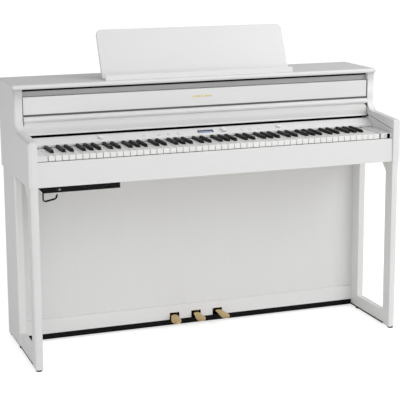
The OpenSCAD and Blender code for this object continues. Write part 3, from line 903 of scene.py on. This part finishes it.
def knob(name, x, r, h, flutes):
    """Turned knob with a fluted skirt, a dished top and a stem in the panel."""
    def ripple(radius, height, angle):
        grip = 1.4 < height < h - 1.3 and radius > r * 0.9
        return 1 - 0.022 * (0.5 + 0.5 * math.cos(flutes * angle)) if grip else 1.0

    profile = [(0.05, -6), (3, -6), (3, 0.6), (r - 0.5, 0.6), (r, 1.0), (r, 1.45), (r, 1.6),
               (r * 0.995, h * 0.5), (r * 0.985, h - 1.5), (r * 0.98, h - 1.2),
               (r * 0.95, h - 0.5), (r * 0.86, h - 0.12), (r * 0.76, h), (r * 0.70, h - 0.15),
               (r * 0.4, h - 0.45), (0.05, h - 0.5)]
    part = lathe(profile, flutes * 4, ripple)
    # the knob body takes the lighter white, a painted highlight
    make(name, *part, "knob_white", name, "white_plastic", (name,), smooth=30.0,
         place=on_slope(x))
    # a dark ring round the knob's base: painted shade for the gap under its skirt
    shade_ring = [[local(q * math.cos(math.pi * i / 24), q * math.sin(math.pi * i / 24), z)
             for i in range(48)]
            for q, z in ((r + 0.7, -0.3), (r + 0.7, 0.12), (3.6, 0.12), (3.6, -0.3))]
    make(name + "_shade_ring", *loft(shade_ring, caps=False), "groove", slot="white_plastic",
         place=on_slope(x))
    mark = rounded(-0.45, 0.45, r * 0.30, r * 0.72, 0.4, 3)
    board(name + "_mark", mark, "z", h - 0.42, h - 0.02, "print", 0.1, 1, body=name,
          place=on_slope(x), slot="button_white")


knob("volume_knob", VOLUME_X, KNOB_R, 8.0, 36)
knob("tone_knob", TONE_X, KNOB_R, 8.0, 36)
knob("select_dial", DIAL_X, 10.0, 9.0, 44)

for button, bx in BUTTONS.items():
    board(button, rounded(-5.5, 5.5, -3, 3, 1.6, 5), "z", -5, 1.8, "button", 0.7, 3,
          place=on_slope(bx, BUTTON_T), body=button, slot="button_white", replaces=(button,))
    ticks = joined([prism(rounded(-3.6, 3.6, 6.4, 7.4, 0.45, 3), "z", 0.0, 0.12, local)])
    make(button + "_print", *ticks, "print", slot="white_plastic", place=on_slope(bx, BUTTON_T))
    lamp = lathe([(0.02, -0.2), (0.9, -0.2), (0.9, 0.15), (0.65, 0.4), (0.02, 0.5)], 20,
                 offset=(0, -6.2, 0))
    make(button + "_lamp", *lamp, "lamp", slot="white_plastic", place=on_slope(bx, BUTTON_T))


def scale_marks(name, x, r):
    """Short printed ticks round a knob."""
    parts = []
    for i in range(11):
        turn = Matrix.Rotation(math.radians(140 - 28 * i), 4, "Z")
        long = 2.2 if i % 5 == 0 else 1.4
        part = prism([(-0.25, r + 1.6), (0.25, r + 1.6), (0.25, r + 1.6 + long),
                      (-0.25, r + 1.6 + long)], "z", 0.0, 0.12, local)
        parts.append(moved(part, turn))
    make(name, *joined(parts), "print", slot="white_plastic", place=on_slope(x))


scale_marks("volume_marks", VOLUME_X, KNOB_R)
scale_marks("tone_marks", TONE_X, KNOB_R)


def display():
    board("display_screen", rounded(-29.6, 29.6, -8.6, 8.6, 1.2, 4), "z", -1.4, 0.35, "display",
          0.3, 2, place=on_slope(0), slot="display", replaces=("display_window",))
    outer = rounded(-30.9, 30.9, -9.4, 9.4, 1.8, 5)
    inner = rounded(-29.7, 29.7, -8.7, 8.7, 1.3, 5)
    rings = [[local(a, b, z) for a, b in loop] for loop, z in
             ((outer, -1.3), (outer, 0.35), (inner, 0.6), (inner, -1.3))]
    make("display_frame", *loft(rings, caps=False), "chrome", slot="white_plastic", smooth=50,
         place=on_slope(0))


display()

# ---------------- music rest

REST_HALF, REST_LEN, REST_T, REST_LEAN = 357.5, 178.0, 10.0, 24.75
REST_X, REST_Y, REST_RISE = -3, 266, 6.5
REST_PLACE = Matrix.Translation(at(REST_X, REST_Y, TOP + REST_RISE)) @ Matrix.Rotation(
    math.radians(-REST_LEAN), 4, "X")


def music_rest():
    outline = ([(-REST_HALF, -4.6), (REST_HALF, -4.6)]
               + arc(REST_HALF - 20, REST_LEN - 20, 20, 0, 90, 12)
               + arc(-REST_HALF + 20, REST_LEN - 20, 20, 90, 180, 12))

    def pick(mid, way):
        if abs(way.y) > 0.9:
            return 0.0 if mid.z > 0 else 0.3
        return 1.0

    obj = board("music_rest", outline, "y", -REST_T / 2, REST_T / 2, "rest", 3.2, 5, pick,
                body="music_rest", slot="white_finish", replaces=("music_rest",),
                place=REST_PLACE)
    pockets = []
    for x in (-260, 260):
        pockets.append(prism([(x - 4, -8), (x + 4, -8), (x + 4, 8), (x - 4, 8)], "z", -9, 8,
                             local))
        bore = Matrix.Translation(local(x - 17, 0, 0)) @ Matrix.Rotation(math.pi / 2, 4, "Y")
        pockets.append(moved(lathe([(2.55, 0), (2.55, 34)], 20), bore))
    return cut(obj, pockets)


music_rest()

# ---------------- pedals

PEDAL_Y, PEDAL_Z, BLADE_Y = 400.0, 46.0, 328.0
PEDALS = (("left_pedal", -82.0, -9.0), ("middle_pedal", 4.0, 0.0), ("right_pedal", 90.0, 9.0))


def pedal(name, x, turn):
    """Cast pedal: a straight arm on its pin, widening to a crowned, drooping round end."""
    body = Matrix.Translation(at(x, BLADE_Y, PEDAL_Z)) @ Matrix.Rotation(
        math.radians(turn), 4, "Z")

    def width(d):
        if d < 36:
            return 13.4 + 0.8 * (max(d, 0) / 36) ** 1.4
        if d < 66:
            t = (d - 36) / 30
            return 14.2 + 4.9 * t * t * (3 - 2 * t)
        return math.sqrt(max(0.0, 19.1 ** 2 - (d - 67.5) ** 2))

    rings = []
    stops = [-3, 6, 16, 26, 36, 44, 52, 58, 64, 70, 75, 79, 82, 84.4, 85.7, 86.2]
    for d in stops:
        drop = -13 * (max(d, 0) / 90) ** 1.6
        w = max(width(d), 0.8)
        t = (4 - max(d, 0) / 100) * (1.0 if d < 83 else math.sqrt(max(0.4, (86.6 - d) / 3.6)))
        ring = []
        for i in range(24):
            a = 2 * math.pi * i / 24
            c, s = math.cos(a), math.sin(a)
            px = w * math.copysign(abs(c) ** 0.62, c)
            pz = t * math.copysign(abs(s) ** 0.62, s)
            pz += 0.9 * (1 - (px / w) ** 2) * (1 if s > 0 else 0.2)
            ring.append(body @ local(px, -d, drop + pz - 0.4))
        rings.append(ring)
    blade = loft(rings)
    arm = prism(rounded(x - 13.4, x + 13.4, 42.2, 49.9, 1.6, 4), "y", BLADE_Y - 4, 408, at)
    hub = moved(lathe([(0.05, -12), (4.9, -12), (5.4, -11.4), (5.4, 11.4), (4.9, 12), (0.05, 12)],
                      36), Matrix.Translation(at(x, PEDAL_Y, PEDAL_Z))
                @ Matrix.Rotation(math.pi / 2, 4, "Y"))
    make(name, *joined([blade, arm, hub]), "brass", name, "brass", (name,), smooth=40.0)


for pedal_row in PEDALS:
    pedal(*pedal_row)


def pedal_slots():
    """Black surrounds inside the three openings, with felt at their tops."""
    for k, (_, x, _) in enumerate(PEDALS):
        lip = [(x - 18.9, 28.2), (x - 18.9, 53.9), (x + 18.9, 53.9), (x + 18.9, 28.2),
               (x + 17.6, 28.2), (x + 17.6, 52.7), (x - 17.6, 52.7), (x - 17.6, 28.2)]
        board(f"pedal_slot_{k + 1}", lip, "y", 314.6, 329.5, "black_plastic", 0.4, 2,
              slot="black_plastic")
        felt(f"pedal_slot_felt_{k + 1}", (x - 17.5, 330, 50.5), (x + 17.5, 331, 53.8), 0.1)


pedal_slots()
# painted shade: a dark felt sheet behind the arms, standing in for the shaded inside of the pedal
# box
felt("pedal_shade", (-150, 418, 28.6), (160, 420, 71), 0.4)

# ---------------- feet, sockets, hook


PAD_X = 671
PADS = ((14, 5), (276, 11), (438, 5))  # depth and height of each pad on a side


def foot_pads():
    parts = []
    for s in (-1, 1):
        for y, top in PADS:
            profile = [(0.05, 0), (10.2, 0), (10.8, 0.5), (11, 1.2), (11, top - 1.2),
                       (10.4, top), (0.05, top)]
            parts.append(moved(lathe(profile, 36), Matrix.Translation(at(s * PAD_X, y, 0))))
    make("foot_pads", *joined(parts), "rubber", "cabinet", "rubber_feet", ("foot_pads",),
         smooth=40)
    for s, side in ((-1, "left"), (1, "right")):
        x0, x1 = sorted((s * 658.3, s * 681.5))
        box(f"{side}_rail_skid", (x0, 54.5, 5.4), (x1, 418, 11.1), "rubber", 0.6,
            slot="rubber_feet")


foot_pads()


JACK_XS, AUDIO_X, SOCKET_Z = (-502, -478), -585, 625.5


def jack_box():
    outline = [(-657, ARM_LOW), (-374.5, ARM_LOW), (-374.5, 616), (-639, 616)]
    obj = board("jack_box", outline, "y", 8, 70, "black_plastic", 1.2, 3,
                lambda mid, way: 0.0 if mid.z > ARM_LOW - 1 else 1.0, slot="black_plastic",
                replaces=("jack_box",))
    holes = []
    for x, r, deep in ((JACK_XS[0], 3.25, 30), (JACK_XS[1], 3.25, 30), (AUDIO_X, 1.8, 24)):
        place = turned_to((0, 1, 0), at(x, 6, SOCKET_Z))
        holes.append(moved(lathe([(r, 0), (r, deep)], 28), place))
    holes.append(prism([(-422, 621), (-412, 621), (-412, 630), (-422, 630)], "y", 6, 22, at))
    cut(obj, holes)
    for k, (x, r, out, mat) in enumerate(((JACK_XS[0], 3.3, 5.4, "black_steel"),
                                          (JACK_XS[1], 3.3, 5.4, "black_steel"),
                                          (AUDIO_X, 1.85, 3.3, "steel"))):
        ring = lathe([(r, 0.0), (out, 0.0), (out + 0.2, 0.5), (out, 1.0), (r + 0.3, 1.2),
                      (r, 0.8), (r, -4)], 32)
        make(f"socket_ring_{k + 1}", ring[0], ring[1][:-2], mat, slot="black_steel",
             place=turned_to((0, -1, 0), at(x, 8.05, SOCKET_Z)), smooth=40)
    for k, x in enumerate((AUDIO_X - 8, AUDIO_X + 8)):
        tick = prism(rounded(x - 0.5, x + 0.5, 622, 629, 0.4, 2), "y", 7.85, 8.05, at)
        make(f"socket_tick_{k + 1}", *tick, "groove", slot="white_plastic")
    box("computer_port_tongue", (-420, 12, 624.6), (-414, 21, 626.4), "groove", 0.2,
        slot="white_plastic")


jack_box()


HOOK_X, HOOK_Y, HOOK_Z = -634, 40, 590


def hook():
    """Bent wire hook below the socket box, with thicker sleeves on its bar and its tip."""
    rise, bend, bar = math.radians(11), 8.0, 30.0
    c, sn = math.cos(rise), math.sin(rise)

    def on_arc(cx, cz, degrees):
        a = math.radians(degrees)
        return (cx + bend * math.cos(a), cz + bend * math.sin(a))

    second = (bend + bar * c, bar * sn)
    bar_ends = [(bend + bend * sn + k * c, -bend * c + k * sn) for k in (-1.5, 15, bar + 1.5)]
    tip = on_arc(*second, rise * 180 / math.pi - 30)
    lean = rise + math.radians(60)
    tip_ends = [(tip[0] + k * math.cos(lean), tip[1] + k * math.sin(lean)) for k in (-1.5, 4, 8.4)]
    wire = [(0, z) for z in (26, 18, 10, 2)]
    wire += [on_arc(bend, 0, 180 + 101 * k / 10) for k in range(11)]
    wire += [on_arc(*second, -79 + 6 * k) for k in range(11)]
    parts = [tube([at(HOOK_X + a, HOOK_Y, HOOK_Z + b) for a, b in path], r * MM)
             for path, r in ((wire, 2.5), (bar_ends, 3.1), (tip_ends, 3.1))]
    make("headphone_hook", *joined(parts), "black_plastic", "cabinet", "black_steel",
         ("headphone_hook",), smooth=60)


hook()


def memory_port():
    """Liner and tongue inside the port in the right key block."""
    outer = rounded(638.1, 649.9, 722.1, 738.9, 0.6, 3)
    inner = rounded(638.6, 649.4, 722.6, 738.4, 0.5, 3)
    rings = [[at(a, y, b) for a, b in loop] for loop, y in
             ((outer, 36), (outer, 11.2), (inner, 11.2), (inner, 36))]
    make("memory_port_liner", *loft(rings, caps=False), "black_plastic", slot="black_plastic",
         smooth=40)
    box("memory_port_tongue", (643.2, 20, 724), (645.0, 34, 737), "groove", 0.2,
        slot="black_plastic")


memory_port()
# a shallow grey plate beside the port
box("memory_port_plate", (624, 10.85, 723), (637.5, 11.1, 738.5), "print", 0.08,
    slot="white_plastic")

# ---------------- dark linings of the gaps


def painted_gap_shade():
    """Thin dark felts in the running gaps, which paint the shade there, so that the gaps read dark
    and no light shows through them.
    """
    felt("right_key_gap_shade", (KEY_LEFT + 52 * PITCH + 0.7, 14, 726), (612, 160, 738.2))
    for side, x0, x1 in (("left", -657, -621), ("right", 612.5, 657)):
        felt(f"{side}_block_gap_shade", (x0, 10.8, 720.8), (x1, 11.4, 722.3), 0.1)
    felt("left_key_gap_shade", (-620.4, 14, 726), (-619.3, 160, 738.2))
    felt("grille_gap_shade", (-657.3, 229.4, 930.1), (657.3, 231.8, 937.8))
    for s, side, nick in ((-1, "left", 2.4), (1, "right", 8.9)):
        x0, x1 = sorted((s * 656.0, s * 657.8))
        felt(f"{side}_lid_gap_shade", (x0, 214.6, 846), (x1, 225, 911))
        # dark wedges under the ends of the bead and dark strips in the arm seams, also painted
        # shade
        wedge = [(s * 655.4, 812.5), (s * 655.4, 824.4), (s * (655.4 - nick), 824.4)]
        board(f"{side}_bead_gap_shade", wedge, "y", 211.1, 213.7, "dark_felt", 0.1, 1,
              body="fallboard", slot="dark_felt")
        cap = lathe([(0.05, 0), (4.8, 0), (4.8, 0.8), (4.4, 1.1), (0.05, 1.1)], 28)
        make(f"{side}_pivot_cap", *cap, "dark_felt", slot="dark_felt", smooth=40,
             place=turned_to((-s, 0, 0), at(s * 657.9, 203.5, 779.5)))
        x0, x1 = sorted((s * (INNER_X + 0.8), s * (INNER_X + 2.4)))
        board(f"{side}_seam_shade", seam_corners(-184, -1, 1.0), "x", x0, x1, "dark_felt", 0.1, 1,
              slot="dark_felt")


painted_gap_shade()

# ---------------- back and underside


SCREW_LEFT, SCREW_STEP, SCREW_ROWS = -620, 248, (670, 918)


def screws():
    """Domed screw heads with a round recess in the middle, round the back board."""
    parts = []
    for i in range(6):
        for z in SCREW_ROWS:
            place = turned_to((0, 1, 0), at(SCREW_LEFT + SCREW_STEP * i, SIDE_BACK, z))
            head = lathe([(0.05, 0), (5, 0), (5, 0.5), (4.2, 1.3), (2.6, 1.75), (1.3, 1.8),
                          (0.9, 0.9), (0.05, 0.7)], 28)
            parts.append(moved(head, place))
    make("cabinet_screws", *joined(parts), "steel", "cabinet", "steel", ("cabinet_screws",),
         smooth=30)


screws()


SPEAKER_X, SPEAKER_Y, SPEAKER_Z = 450, 392, 636.5


def speaker_grilles():
    """Ring and spoke covers over the two holes in the underside of the key bed."""
    for s, side in ((-1, "left"), (1, "right")):
        parts = []
        for r in (10, 20, 30, 40, 49.3):
            wide = 2.2 if r > 45 else 1.0
            ring = lathe([(r - wide, 0), (r, 0), (r, 1.6), (r - wide, 1.6), (r - wide, 0)], 64)
            parts.append((ring[0], ring[1][:-2]))
        for i in range(8):
            spoke = prism([(3, -0.6), (48, -0.6), (48, 0.6), (3, 0.6)], "z", 0.2, 1.4, local)
            parts.append(moved(spoke, Matrix.Rotation(math.pi / 4 * i, 4, "Z")))
        parts.append(lathe([(0.05, 0), (4, 0), (4.4, 0.4), (4.4, 1.6), (0.05, 1.6)], 32))
        make(f"{side}_speaker_grille", *joined(parts), "black_plastic", slot="speaker_black",
             place=Matrix.Translation(at(s * SPEAKER_X, SPEAKER_Y, SPEAKER_Z)), smooth=40)


speaker_grilles()
